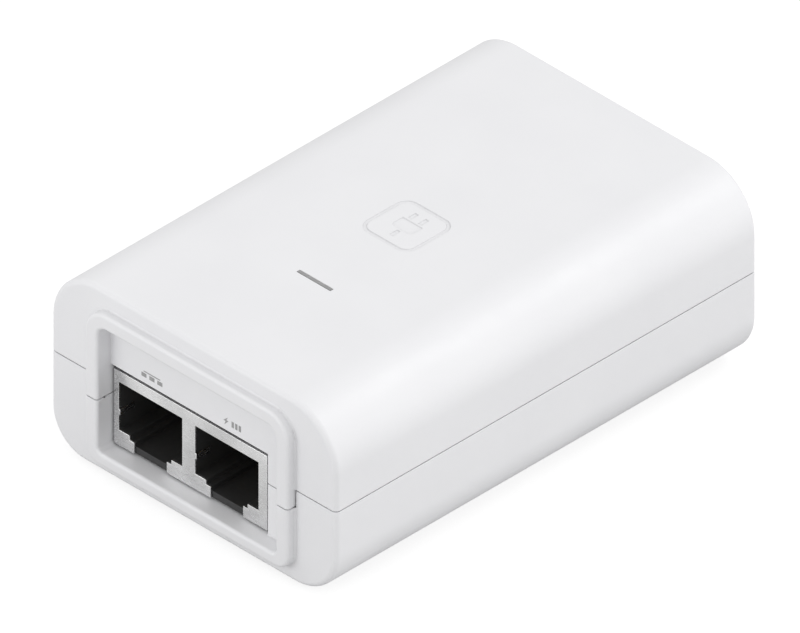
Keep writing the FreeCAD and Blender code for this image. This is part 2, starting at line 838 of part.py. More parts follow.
def jack_solder_pins():
    """The wires' tails, from the carriers down through the board."""
    low = size("solder_pin_low")
    height = size("board_top") - low
    pins = [
        cylinder(f"solder_{tag}", size("solder_pin_radius"), height, x, y, low)
        for tag, x, y in solder_pin_places()
    ]
    piece("jack_solder_pins", *pins)


# ---- mains inlet ----


def inlet_face():
    """How far behind the middle the inlet's face stands."""
    floor = size("case_length") / 2 + size("bezel_proud") - size("recess_depth")
    return floor - size("inlet_setback")


def pin_places():
    """A tag and the place of each mains pin in the XZ plane: live and neutral low, earth high."""
    low, spread = size("pin_low"), size("pin_spread")
    return [("live", -spread, low), ("neutral", spread, low), ("earth", 0.0, low + size("pin_rise"))]


def inlet_housing():
    """A moulded block on two runners, with a three-lobed socket and a bore for each pin."""
    body = new_body("inlet_housing")
    half = size("inlet_width") / 2
    block = new_sketch(body, "inlet_block", "XZ_Plane", -inlet_face())
    outline(block, "block", -half, size("inlet_low"), half, size("inlet_high"))
    extrude(body, "Pad", block, size("inlet_depth"))
    runners = new_sketch(body, "inlet_runners", "XY_Plane", size("board_top"))
    start, end = inlet_face() - size("inlet_depth"), inlet_face() - size("runner_inset")
    for tag, left in (("left", -half), ("right", half - size("inlet_runner"))):
        outline(runners, tag, left, start, left + size("inlet_runner"), end)
    extrude(body, "Pad", runners, size("inlet_low") - size("board_top"))
    for tag, x, z in pin_places():
        lobe = new_sketch(body, f"lobe_{tag}", "XZ_Plane", -inlet_face())
        circle(lobe, "lobe", x, z, size("lobe_radius"))
        extrude(body, "Pocket", lobe, size("cavity_depth"), backwards=True)
    bores = new_sketch(body, "pin_bores", "XZ_Plane", -inlet_face())
    for tag, x, z in pin_places():
        circle(bores, tag, x, z, size("pin_radius"))
    extrude(body, "Pocket", bores, size("inlet_depth"), backwards=True)


def inlet_pins():
    """Three round pins, from behind the housing to inside the mouth of its socket."""
    tail = inlet_face() - size("inlet_depth") - size("pin_tail")
    tip = inlet_face() - size("cavity_depth") + size("pin_reach")
    pins = [
        cylinder(f"pin_{tag}", size("pin_radius"), tip - tail, x, tail, z, ALONG_Y)
        for tag, x, z in pin_places()
    ]
    piece("inlet_pins", *pins)


# ---- board and its parts ----


def circuit_board():
    """The board, with peg holes and a hole for each solder pin of the jack."""
    body = new_body("circuit_board")
    half = size("board_width") / 2
    radius = size("board_radius")
    sketch = new_sketch(body, "board_outline", "XY_Plane", size("board_low"))
    corners = (radius, radius, radius, radius)
    outline(sketch, "board", -half, size("board_front"), half, size("board_back"), corners)
    thickness = size("board_top") - size("board_low")
    extrude(body, "Pad", sketch, thickness)
    holes = new_sketch(body, "board_holes", "XY_Plane", size("board_low"))
    for tag, x, y in post_places():
        circle(holes, f"peg_{tag}", x, y, size("peg_radius") + size("peg_clearance"))
    for tag, x, y in solder_pin_places():
        circle(holes, f"pin_{tag}", x, y, size("solder_hole_radius"))
    extrude(body, "Pocket", holes, thickness, backwards=True)


def insulation_sheet():
    """A thin sheet between the mains side of the board and the case floor."""
    width, length, thickness = size("sheet_width"), size("sheet_length"), size("sheet_thickness")
    piece("insulation_sheet", box("sheet", width, length, thickness, 0.0, size("sheet_y"), size("case_wall")))


def indicator_led():
    """The small LED under the light pipe."""
    x, y, z = size("slit_x"), size("slit_y"), size("board_top")
    piece("indicator_led", box("led", size("led_length"), size("led_width"), size("led_height"), x, y, z))


class Spot:
    """The place and the size of a part on the board, read from the sheet."""

    def __init__(self, name):
        self.x = size(f"{name}_x")
        self.y = size(f"{name}_y")
        self.width = size(f"{name}_width")
        self.length = size(f"{name}_length")
        self.height = size(f"{name}_height")
        self.low = size("board_top")
        self.top = self.low + self.height


def legs(name, spot, places):
    """Square legs under a raised part, at fractions of its width and length from its middle."""
    side, height = size("leg_side"), size("leg_height")
    return [
        box(f"{name}_leg{n}", side, side, height, spot.x + spot.width * u, spot.y + spot.length * v, spot.low)
        for n, (u, v) in enumerate(places)
    ]


def block_on_legs(label, name, places):
    """A moulded block that stands on legs."""
    spot = Spot(name)
    rise = size("leg_height")
    block = box(
        f"{name}_block", spot.width, spot.length, spot.height - rise, spot.x, spot.y, spot.low + rise
    )
    piece(label, fuse(f"{name}_whole", block, *legs(name, spot, places)))


def disc_on_legs(label, name):
    """A disc that stands on edge on two legs, with its flat faces to the front and back."""
    spot = Spot(name)
    radius = spot.width / 2
    z = spot.top - radius
    disc = cylinder(f"{name}_disc", radius, spot.length, spot.x, spot.y - spot.length / 2, z, ALONG_Y)
    side, spread = size("leg_side"), spot.width * DISC_LEG_SPREAD
    stems = [
        box(f"{name}_leg{n}", side, side, z - spot.low, x, spot.y, spot.low)
        for n, x in enumerate((spot.x - spread, spot.x + spread))
    ]
    piece(label, fuse(f"{name}_whole", disc, *stems))


def crimped_can(name, radius, height, x, y, z, axis=UP):
    """A capacitor can with a crimp pressed into it near its foot."""
    rise, crimp = size("crimp_height"), size("crimp_width")
    stages = [
        ("foot", radius, rise, 0.0),
        ("crimp", radius - size("crimp_depth"), crimp, rise),
        ("can", radius, height - rise - crimp, rise + crimp),
    ]
    return fuse(
        name,
        *[
            cylinder(f"{name}_{tag}", wide, tall, x, y + up * axis.y, z + up * axis.z, axis)
            for tag, wide, tall, up in stages
        ],
    )


def capacitors():
    """The bulk capacitor lies on its side, and the output capacitors stand in a row."""
    bulk = Spot("bulkcap")
    radius = bulk.width / 2
    start = bulk.y - bulk.length / 2
    can = crimped_can("bulk", radius, bulk.length, bulk.x, start, bulk.low + radius, ALONG_Y)
    piece("bulk_capacitor", can)
    out = Spot("outcap")
    pitch = size("outcap_pitch")
    cans = [
        crimped_can(f"out{n}", out.width / 2, out.height, out.x, out.y + pitch * n, out.low)
        for n in range(OUTPUT_CANS)
    ]
    piece("output_capacitors", *cans)


def ring(name, outer, inner, length, x, y, z):
    """A ring about an axis along Y, centred on x, y, z."""
    start = y - length / 2
    disc = cylinder(f"{name}_disc", outer, length, x, start, z, ALONG_Y)
    return cut(name, disc, cylinder(f"{name}_hole", inner, length, x, start, z, ALONG_Y))


def common_mode_choke():
    """An upright ring core with a bank of windings on each side of it."""
    spot = Spot("choke")
    z = spot.low + spot.height / 2
    wire, core, gap = size("ring_wire"), size("ring_core"), size("winding_gap")
    outer = spot.height / 2
    length = spot.length - wire * 2
    piece("choke_core", ring("core_ring", outer - wire, outer - wire - core, length, spot.x, spot.y, z))
    coil = ring("coil_ring", outer, outer - wire * 2 - core, spot.length, spot.x, spot.y, z)
    room = ring(
        "coil_room", outer - wire + gap, outer - wire - core - gap, length + gap * 2, spot.x, spot.y, z
    )
    split = box("coil_split", size("ring_split"), spot.length, spot.height, spot.x, spot.y, spot.low)
    piece("choke_windings", cut("coil_banks", cut("coil_sleeve", coil, room), split))


def transformer():
    """A ferrite core with a window on each side of its middle leg, a bobbin and a taped winding."""
    spot = Spot("trafo")
    gap, plate = size("winding_gap"), size("bobbin_plate")
    yoke, leg, thick = size("core_yoke"), size("core_leg"), size("core_thickness")
    core_low = spot.low + plate + gap
    core_height = spot.height - plate - gap
    frame = box("core_frame", spot.width, thick, core_height, spot.x, spot.y, core_low)
    inner_width = spot.width - yoke * 2
    inner_height = core_height - yoke * 2
    window = box("core_window", inner_width, thick, inner_height, spot.x, spot.y, core_low + yoke)
    middle = box("core_middle", leg, thick, inner_height, spot.x, spot.y, core_low + yoke)
    piece("transformer_core", fuse("core_whole", cut("core_open", frame, window), middle))
    wide, long = inner_width - gap * 2, spot.length - gap * 2
    flange_low = core_low + yoke + gap
    winding_height = inner_height - plate * 2 - gap * 4
    coil_low = flange_low + plate + gap
    base = box("bobbin_base", spot.width, spot.length, plate, spot.x, spot.y, spot.low)
    flanges = [
        cut(
            f"bobbin_flange{n}",
            box(f"bobbin_plate{n}", wide, long, plate, spot.x, spot.y, z),
            box(f"bobbin_room{n}", leg + gap * 2, thick + gap * 2, plate, spot.x, spot.y, z),
        )
        for n, z in enumerate((flange_low, coil_low + winding_height + gap))
    ]
    piece("transformer_bobbin", base, *flanges)
    coil = box("tape_block", wide - gap * 2, long - plate, winding_height, spot.x, spot.y, coil_low)
    core_room = box("tape_room", leg + gap * 2, thick + gap * 2, winding_height, spot.x, spot.y, coil_low)
    piece("transformer_winding", cut("tape_whole", coil, core_room))


def switching_transistor():
    """A flat-backed transistor on three legs, its metal tab against the heat sink."""
    spot = Spot("transistor")
    tab = size("tab_thickness")
    rise = size("leg_height") * 2
    body = box(
        "transistor_body", spot.width - tab, spot.length, spot.height - rise,
        spot.x - tab / 2, spot.y, spot.low + rise,
    )
    plate = box(
        "transistor_tab", tab, spot.length, spot.height - rise,
        spot.x + spot.width / 2 - tab / 2, spot.y, spot.low + rise,
    )
    side = size("leg_side")
    stems = [
        box(f"transistor_leg{n}", side, side, rise, spot.x, spot.y + spot.length * v, spot.low)
        for n, v in enumerate(TRANSISTOR_LEGS)
    ]
    piece("switching_transistor", fuse("transistor_whole", body, plate, *stems))


def heat_sink():
    """An aluminium plate with upright fins on its outer side."""
    body = new_body("heat_sink")
    spot = Spot("heatsink")
    left, right = spot.x - spot.width / 2, spot.x + spot.width / 2
    front, back = spot.y - spot.length / 2, spot.y + spot.length / 2
    plate = new_sketch(body, "sink_plate", "XY_Plane", spot.low)
    outline(plate, "plate", left, front, right, back)
    extrude(body, "Pad", plate, spot.height)
    thickness = size("fin_thickness")
    fin = new_sketch(body, "sink_fin", "XY_Plane", spot.low)
    outline(fin, "fin", right - thickness, front, right + size("fin_reach"), front + thickness)
    first = extrude(body, "Pad", fin, spot.height)
    fins = body.newObject("PartDesign::LinearPattern", "sink_fins")
    fins.Originals = [first]
    fins.Direction = (fin, ["V_Axis"])
    fins.setExpression("Length", (spot.length - thickness).text)
    fins.Occurrences = FIN_COUNT
    body.Tip = fins
    DOC.recompute()


def output_diode():
    """An axial diode that lies along Y on two bent leads."""
    spot = Spot("diode")
    radius = spot.width / 2
    side = size("leg_side")
    z = spot.low + radius
    start = spot.y - spot.length / 2
    barrel_length = spot.length - side * 2
    barrel = cylinder("diode_barrel", radius, barrel_length, spot.x, start + side, z, ALONG_Y)
    ends = [
        box(f"diode_lead{n}", side, side, radius, spot.x, y, spot.low)
        for n, y in enumerate((start + side / 2, start + spot.length - side / 2))
    ]
    piece("output_diode", fuse("diode_whole", barrel, *ends))


def output_inductor():
    """A drum core with its winding between the flanges."""
    spot = Spot("inductor")
    flange, waist, gap = size("drum_flange"), size("drum_waist"), size("winding_gap")
    outer = spot.width / 2
    drum = fuse(
        "drum",
        cylinder("drum_foot", outer, flange, spot.x, spot.y, spot.low),
        cylinder("drum_waist_rod", waist, spot.height, spot.x, spot.y, spot.low),
        cylinder("drum_head", outer, flange, spot.x, spot.y, spot.top - flange),
    )
    piece("output_inductor_core", drum)
    low, height = spot.low + flange + gap, spot.height - flange * 2 - gap * 2
    coil = cylinder("drum_coil", outer - gap, height, spot.x, spot.y, low)
    room = cylinder("drum_coil_room", waist + gap, height, spot.x, spot.y, low)
    piece("output_inductor_winding", cut("drum_winding", coil, room))


def chip(label, name, pins):
    """A moulded package with a row of flat pins along its front and back."""
    spot = Spot(name)
    foot, flat = size("gull_length"), size("gull_height")
    package = box(f"{name}_package", spot.width, spot.length, spot.height, spot.x, spot.y, spot.low)
    feet = []
    for n in range(pins):
        x = spot.x + spot.width * ((n + 0.5) / pins - 0.5)
        for end, y in (("a", spot.y - spot.length / 2), ("b", spot.y + spot.length / 2)):
            feet.append(box(f"{name}_foot{n}{end}", flat, foot, flat, x, y, spot.low))
    piece(label, fuse(f"{name}_whole", package, *feet))


def board_parts():
    """Everything that is soldered to the board, apart from the jack and the inlet."""
    block_on_legs("fuse", "fuse", FUSE_LEGS)
    disc_on_legs("inrush_thermistor", "thermistor")
    block_on_legs("bridge_rectifier", "bridge", BRIDGE_LEGS)
    block_on_legs("x_capacitor", "xcap", X_CAPACITOR_LEGS)
    capacitors()
    common_mode_choke()
    transformer()
    switching_transistor()
    heat_sink()
    disc_on_legs("y_capacitor", "ycap")
    chip("optocoupler", "opto", 2)
    chip("pwm_controller", "pwm", 4)
    output_diode()
    output_inductor()
    chip("lan_transformer", "magnetics", 8)
    chip("poe_controller", "poechip", 5)


def write_parts():
    """Checks every object and writes each sub-part to its own file."""
    DOC.recompute()
    failed = [item.Name for item in DOC.Objects if {"Invalid", "Error"} & set(item.State)]
    failed += [item.Label for item in PIECES if item.Shape.isNull() or not item.Shape.isValid()]
    if failed:
        raise ValueError(f"these objects failed: {failed}")
    os.makedirs("parts", exist_ok=True)
    for item in PIECES:
        item.Shape.exportStep(f"parts/{item.Label}.step")


def main():
    fill_sheet()
    bottom_shell()
    top_shell()
    rubber_feet()
    led_light_pipe()
    jack_shield()
    jack_housing()
    contact_springs("lan")
    contact_springs("poe")
    contact_leads()
    contact_carriers()
    jack_solder_pins()
    inlet_housing()
    inlet_pins()
    circuit_board()
    insulation_sheet()
    indicator_led()
    board_parts()
    write_parts()


main()
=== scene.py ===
import json
import math

import bmesh
import bpy
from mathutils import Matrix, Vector


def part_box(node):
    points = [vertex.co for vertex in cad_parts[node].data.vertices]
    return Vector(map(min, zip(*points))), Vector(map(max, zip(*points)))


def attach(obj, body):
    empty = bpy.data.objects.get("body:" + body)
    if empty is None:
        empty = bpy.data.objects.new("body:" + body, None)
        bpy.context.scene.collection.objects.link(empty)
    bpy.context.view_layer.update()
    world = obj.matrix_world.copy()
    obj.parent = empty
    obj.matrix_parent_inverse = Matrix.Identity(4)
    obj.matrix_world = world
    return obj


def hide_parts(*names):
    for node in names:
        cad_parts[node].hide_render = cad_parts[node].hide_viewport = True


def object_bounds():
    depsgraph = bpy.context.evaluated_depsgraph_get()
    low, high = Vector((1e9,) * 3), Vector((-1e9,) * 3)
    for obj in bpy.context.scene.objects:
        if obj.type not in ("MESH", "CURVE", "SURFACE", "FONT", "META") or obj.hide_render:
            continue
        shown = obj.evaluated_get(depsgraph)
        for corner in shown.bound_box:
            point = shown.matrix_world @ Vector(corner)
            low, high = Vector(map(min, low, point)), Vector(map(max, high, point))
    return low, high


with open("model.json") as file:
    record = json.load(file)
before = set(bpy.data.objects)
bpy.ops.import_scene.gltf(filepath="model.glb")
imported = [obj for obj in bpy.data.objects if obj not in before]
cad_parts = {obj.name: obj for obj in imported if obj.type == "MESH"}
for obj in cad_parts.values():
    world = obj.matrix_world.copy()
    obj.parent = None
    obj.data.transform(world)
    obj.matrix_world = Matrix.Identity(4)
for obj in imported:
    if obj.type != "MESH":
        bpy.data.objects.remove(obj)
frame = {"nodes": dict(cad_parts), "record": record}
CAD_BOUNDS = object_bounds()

# A white plastic PoE injector. +X is right, +Y runs from the network ports to the mains inlet and
# +Z is up. The origin is the middle of the footprint, level with the soles of the rubber feet.

MM = 0.001
NODES = frame["nodes"]
RECORD = frame["record"]
SLOTS = {row["node"]: row["material_slot"] for row in RECORD["subparts"]}
BODIES = {node: body for body, nodes in RECORD["behaviour"]["bodies"].items() for node in nodes}

# What stands further than BEZEL_FACE from the middle along Y is a bezel's face.
FACE_MARGIN = 0.05 * MM
BEZEL_FACE = CAD_BOUNDS[1][1] - FACE_MARGIN
# How far the jack's shield stands behind the panel that carries the signs.
JACK_SETBACK = 0.25 * MM

WELD_DISTANCE = 0.0005 * MM
FLAT_ANGLE = math.radians(0.4)
SHARP_ANGLE = math.radians(28)
SMOOTH_ANGLE = math.radians(50)
EDGE_SEGMENTS = 2
ROUND_PROFILE = 0.5
FLAT_FACE_WEIGHT = 100

# Most of a noise's values lie between these.
NOISE_LOW = 0.3
NOISE_HIGH = 0.7
NOISE_DETAIL = 3.0
BAND_SPACING_AT_UNIT_SCALE = math.pi / 10

# How open a spot is to its surroundings, in a deep crease and on a free face, for the painted crease
# shade.
SHELTERED = 0.3
OPEN = 0.9
SHELTER_SAMPLES = 16
# The distance over which the painted shade sets in at a bezel's face, and the depth of rolling lines.
FACE_BLEND = 0.1 * MM
ROLLING_LINE_DEPTH = 0.0002 * MM


# ---- procedural finishes ----


class Finish:
    """A material whose colour, gloss and relief all come from nodes in the object's own space."""

    def __init__(self, slot, metallic=0.0, ior=1.5):
        self.material = bpy.data.materials.new(f"{slot}_finish")
        self.material.use_nodes = True
        self.tree = self.material.node_tree
        self.shader = self.tree.nodes["Principled BSDF"]
        self.shader.inputs["Metallic"].default_value = metallic
        self.shader.inputs["IOR"].default_value = ior
        self.coords = self.node("ShaderNodeTexCoord").outputs["Object"]
        self.normal = None

    def node(self, kind, **settings):
        made = self.tree.nodes.new(kind)
        for name, value in settings.items():
            setattr(made, name, value)
        return made

    def link(self, source, target):
        self.tree.links.new(source, target)

    def stretched(self, stretch):
        """The object's coordinates, scaled differently along each axis."""
        mapping = self.node("ShaderNodeMapping")
        mapping.inputs["Scale"].default_value = stretch
        self.link(self.coords, mapping.inputs["Vector"])
        return mapping.outputs["Vector"]

    def noise(self, feature, detail=NOISE_DETAIL, stretch=(1, 1, 1)):
        """Noise whose lumps are about this many metres across."""
        texture = self.node("ShaderNodeTexNoise")
        texture.inputs["Scale"].default_value = 1 / feature
        texture.inputs["Detail"].default_value = detail
        self.link(self.stretched(stretch), texture.inputs["Vector"])
        return texture.outputs["Fac"]

    def bands(self, spacing, axis="X", distortion=0.0):
        """Regular bands across an axis."""
        texture = self.node("ShaderNodeTexWave", wave_type="BANDS", bands_direction=axis)
        texture.inputs["Scale"].default_value = BAND_SPACING_AT_UNIT_SCALE / spacing
        texture.inputs["Distortion"].default_value = distortion
        self.link(self.coords, texture.inputs["Vector"])
        return texture.outputs["Fac"]

    def spread(self, value, low, high, start=NOISE_LOW, end=NOISE_HIGH):
        """Maps a texture's value to a range."""
        mapped = self.node("ShaderNodeMapRange")
        for name, number in (("From Min", start), ("From Max", end), ("To Min", low), ("To Max", high)):
            mapped.inputs[name].default_value = number
        self.link(value, mapped.inputs["Value"])
        return mapped.outputs["Result"]

    def colour(self, value, dark, light, start=NOISE_LOW, end=NOISE_HIGH):
        """Colours the surface between two tones by a texture."""
        ramp = self.node("ShaderNodeValToRGB")
        ramp.color_ramp.elements[0].position = start
        ramp.color_ramp.elements[1].position = end
        ramp.color_ramp.elements[0].color = (*dark, 1)
        ramp.color_ramp.elements[1].color = (*light, 1)
        self.link(value, ramp.inputs["Fac"])
        self.link(ramp.outputs["Color"], self.shader.inputs["Base Color"])

    def tint(self, share):
        """Multiplies the colour by a value that changes over the surface."""
        mixed = self.node("ShaderNodeMix", data_type="RGBA", blend_type="MULTIPLY")
        mixed.inputs["Factor"].default_value = 1.0
        base = self.shader.inputs["Base Color"]
        self.link(base.links[0].from_socket, mixed.inputs["A"])
        self.link(share, mixed.inputs["B"])
        self.link(mixed.outputs["Result"], base)

    def paint_crease_shade(self, reach, darkest):
        """Paints shade into the colour: darkens it within this distance of an inner corner, by ambient
        occlusion.
        """
        shelter = self.node("ShaderNodeAmbientOcclusion", samples=SHELTER_SAMPLES)
        shelter.inputs["Distance"].default_value = reach
        self.tint(self.spread(shelter.outputs["AO"], darkest, 1.0, SHELTERED, OPEN))

    def paint_end_shade(self, distance, share):
        """Paints shade into the colour: darkens what stands further than this from the middle along Y.
        """
        split = self.node("ShaderNodeSeparateXYZ")
        self.link(self.coords, split.inputs["Vector"])
        reach = self.node("ShaderNodeMath", operation="ABSOLUTE")
        self.link(split.outputs["Y"], reach.inputs[0])
        self.tint(self.spread(reach.outputs["Value"], 1.0, share, distance - FACE_BLEND, distance))

    def roughness(self, value, low, high):
        self.link(self.spread(value, low, high), self.shader.inputs["Roughness"])

    def relief(self, value, depth):
        """Adds a layer of surface relief, this many metres deep."""
        bump = self.node("ShaderNodeBump")
        bump.inputs["Distance"].default_value = depth
        bump.inputs["Strength"].default_value = 1.0
        self.link(value, bump.inputs["Height"])
        if self.normal is not None:
            self.link(self.normal, bump.inputs["Normal"])
        self.normal = bump.outputs["Normal"]
        self.link(self.normal, self.shader.inputs["Normal"])

    def set(self, **sockets):
        for name, value in sockets.items():
            self.shader.inputs[name.replace("_", " ")].default_value = value


def grey(level, blue=0.0):
    """A near-neutral tone, with this share more blue."""
    return (level, level, level * (1 + blue))


def darker(tone, share):
    """A tone with each channel at this share."""
    return tuple(channel * share for channel in tone)


def white_case():
    """Injection-moulded white plastic with a fine spark-eroded texture and slight handling sheen."""
    finish = Finish("white_case", ior=1.46)
    mottle = finish.noise(feature=14 * MM, detail=4)
    finish.colour(mottle, dark=grey(0.745, blue=0.02), light=grey(0.765, blue=0.018))
    # Painted shade: the colour darkens in creases and at the foot of the bezels.
    finish.paint_crease_shade(reach=0.8 * MM, darkest=0.84)
    # Painted shade: the faces of the bezels are a little darker than the walls.
    finish.paint_end_shade(distance=BEZEL_FACE, share=0.98)
    finish.roughness(finish.noise(feature=5 * MM, detail=4), low=0.36, high=0.48)
    finish.relief(finish.noise(feature=3.5 * MM, detail=2), depth=0.006 * MM)
    finish.relief(finish.noise(feature=0.16 * MM, detail=2), depth=0.0035 * MM)
    return finish


def black_plastic():
    """Textured black moulded plastic."""
    finish = Finish("black_plastic")
    tone = grey(0.026)
    finish.colour(finish.noise(feature=4 * MM, detail=4), dark=darker(tone, share=0.82), light=tone)
    finish.roughness(finish.noise(feature=1.2 * MM), low=0.4, high=0.6)
    finish.relief(finish.noise(feature=0.12 * MM, detail=2), depth=0.006 * MM)
    return finish


def bright_metal(slot, tone, brush, roughness, wave):
    """Rolled and plated metal: fine rolling lines, faint stains and gentle waviness from stamping."""
    finish = Finish(slot, metallic=1.0)
    finish.colour(finish.noise(feature=9 * MM, detail=2), dark=darker(tone, share=0.72), light=tone)
    lines = finish.noise(feature=1.6 * MM, detail=2, stretch=brush)
    finish.roughness(lines, *roughness)
    finish.relief(finish.noise(feature=7 * MM, detail=1), depth=wave)
    finish.relief(lines, depth=ROLLING_LINE_DEPTH)
    return finish


def printed_board():
    """Green solder mask over a woven laminate, with the copper pattern showing through it."""
    finish = Finish("green_board")
    track_spacing = 3.2 * MM
    track_edge = {"start": 0.05, "end": 0.09}
    tracks = finish.node("ShaderNodeTexVoronoi", distance="CHEBYCHEV", feature="DISTANCE_TO_EDGE")
    tracks.inputs["Scale"].default_value = 1 / track_spacing
    finish.link(finish.coords, tracks.inputs["Vector"])
    copper = tracks.outputs["Distance"]
    finish.colour(copper, dark=(0.012, 0.09, 0.035), light=(0.02, 0.17, 0.07), **track_edge)
    finish.roughness(finish.noise(feature=0.8 * MM), low=0.25, high=0.4)
    finish.relief(finish.spread(copper, low=0, high=1, **track_edge), depth=0.03 * MM)
    finish.relief(finish.bands(spacing=0.45 * MM), depth=0.004 * MM)
    return finish


def taped_winding():
    """Yellow polyester tape in lapped turns."""
    finish = Finish("yellow_plastic")
    laps = finish.bands(spacing=2.2 * MM, axis="Z", distortion=1.0)
    finish.colour(laps, dark=(0.62, 0.36, 0.03), light=(0.74, 0.47, 0.06), start=0.1, end=0.4)
    finish.roughness(finish.noise(feature=1 * MM), low=0.28, high=0.42)
    finish.relief(laps, depth=0.03 * MM)
    return finish


def dipped_ceramic(slot, tone):
    """A glossy, slightly lumpy dipped coat."""
    finish = Finish(slot)
    finish.colour(finish.noise(feature=1.5 * MM, detail=4), dark=darker(tone, share=0.8), light=tone)
    finish.roughness(finish.noise(feature=1 * MM), low=0.18, high=0.32)
    finish.relief(finish.noise(feature=1.8 * MM, detail=2), depth=0.05 * MM)
    return finish


def frosted_lens():
    """Frosted plastic, grey as it looks over the dark inside of the case."""
    finish = Finish("frosted_lens", ior=1.49)
    finish.colour(finish.noise(feature=1.2 * MM), dark=grey(0.34), light=grey(0.42))
    finish.roughness(finish.noise(feature=0.3 * MM), low=0.35, high=0.5)
    finish.relief(finish.noise(feature=0.12 * MM, detail=2), depth=0.004 * MM)
    finish.set(Transmission_Weight=0.25)
    return finish


def clear_film():
    """Thin insulating film with soft ripples."""
    finish = Finish("clear_sheet")
    finish.colour(finish.noise(feature=6 * MM), dark=(0.6, 0.58, 0.48), light=(0.68, 0.66, 0.56))
    finish.roughness(finish.noise(feature=2 * MM), low=0.15, high=0.3)
    finish.relief(finish.noise(feature=5 * MM, detail=1), depth=0.05 * MM)
    finish.set(Transmission_Weight=0.4)
    return finish


def rubber():
    """Grey rubber with a matt, faintly dusty skin."""
    finish = Finish("grey_rubber")
    finish.colour(finish.noise(feature=1.6 * MM, detail=5), dark=grey(0.07), light=grey(0.11))
    finish.roughness(finish.noise(feature=0.7 * MM), low=0.75, high=0.95)
    finish.relief(finish.noise(feature=0.2 * MM), depth=0.02 * MM)
    return finish


def ferrite():
    """Sintered ferrite: nearly black, with a granular skin."""
    finish = Finish("ferrite")
    finish.colour(finish.noise(feature=0.5 * MM, detail=5), dark=grey(0.012), light=grey(0.04))
    finish.roughness(finish.noise(feature=0.9 * MM), low=0.5, high=0.75)
    finish.relief(finish.noise(feature=0.14 * MM, detail=4), depth=0.02 * MM)
    return finish


def enamelled_wire():
    """Copper wire under a clear amber enamel."""
    finish = Finish("copper_wire", metallic=1.0)
    stains = finish.noise(feature=0.9 * MM, detail=4)
    finish.colour(stains, dark=(0.4, 0.13, 0.045), light=(0.62, 0.24, 0.1))
    finish.roughness(finish.noise(feature=0.6 * MM), low=0.2, high=0.34)
    finish.relief(finish.noise(feature=0.3 * MM), depth=0.01 * MM)
    finish.set(Coat_Weight=0.6)
    return finish


def printed_ink():
    """Grey pad-printed ink, slightly uneven."""
    finish = Finish("ink")
    finish.colour(finish.noise(feature=0.35 * MM), dark=grey(0.26), light=grey(0.34))
    finish.roughness(finish.noise(feature=0.3 * MM), low=0.5, high=0.65)
    finish.relief(finish.noise(feature=0.1 * MM), depth=0.003 * MM)
    return finish


# Metals: tone, stretch of the rolling lines along each axis, range of roughness, depth of waviness.
METALS = {
    "plated_steel": (grey(0.95), (1, 1, 4), (0.22, 0.32), 0.03 * MM),
    "gold_plate": ((0.83, 0.56, 0.2), (1, 6, 1), (0.16, 0.26), 0),
    "tinned_metal": (grey(0.6), (1, 1, 1), (0.25, 0.4), 0),
    "brass_pin": ((0.74, 0.7, 0.6), (6, 1, 6), (0.16, 0.28), 0),
    "can_aluminium": (grey(0.6), (1, 1, 10), (0.3, 0.45), 0),
}
CERAMICS = {
    "dark_ceramic": (0.03, 0.06, 0.04),
    "blue_ceramic": (0.03, 0.09, 0.4),
}


def make_finishes():
    """One finish for each material slot of the record."""
    finishes = {
        "white_case": white_case(),
        "grey_rubber": rubber(),
        "frosted_lens": frosted_lens(),
        "black_plastic": black_plastic(),
        "green_board": printed_board(),
        "clear_sheet": clear_film(),
        "yellow_plastic": taped_winding(),
        "ferrite": ferrite(),
        "copper_wire": enamelled_wire(),
    }
    for slot, look in METALS.items():
        finishes[slot] = bright_metal(slot, *look)
    for slot, tone in CERAMICS.items():
        finishes[slot] = dipped_ceramic(slot, tone)
    return finishes


# ---- pieces ----


def add_piece(name, mesh, finish, body, nodes=()):
    """Puts a finished mesh in the scene, riding on a body and standing for these CAD nodes."""
    mesh.materials.clear()
    mesh.materials.append(finish.material)
    piece = bpy.data.objects.new(name, mesh)
    bpy.context.scene.collection.objects.link(piece)
    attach(piece, body)
    if nodes:
        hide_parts(*nodes)
    return piece


def shade(mesh):
    """Smooth shading that breaks at sharp edges."""
    for face in mesh.polygons:
        face.use_smooth = True
    mesh.set_sharp_from_angle(angle=SMOOTH_ANGLE)


def weigh_normals(piece):
    """Keeps broad flat faces flat where a narrow rounded edge meets them."""
    modifier = piece.modifiers.new("flat_faces", "WEIGHTED_NORMAL")
    modifier.keep_sharp = True
    modifier.weight = FLAT_FACE_WEIGHT


def softened(node, width):
    """The node's shape with clean flat faces, and a small radius on every sharp edge."""
    work = bmesh.new()
    work.from_mesh(NODES[node].data)
    bmesh.ops.remove_doubles(work, verts=work.verts, dist=WELD_DISTANCE)
    bmesh.ops.dissolve_limit(work, angle_limit=FLAT_ANGLE, verts=work.verts, edges=work.edges)
    sharp = [edge for edge in work.edges if edge.is_manifold and edge.calc_face_angle() > SHARP_ANGLE]
    bmesh.ops.bevel(
        work,
        geom=sharp,
        offset=width,
        segments=EDGE_SEGMENTS,
        profile=ROUND_PROFILE,
        affect="EDGES",
        clamp_overlap=False,
    )
    bmesh.ops.remove_doubles(work, verts=work.verts, dist=WELD_DISTANCE)
    mesh = bpy.data.meshes.new(f"{node}_soft")
    work.to_mesh(mesh)
    work.free()
    shade(mesh)
    return mesh


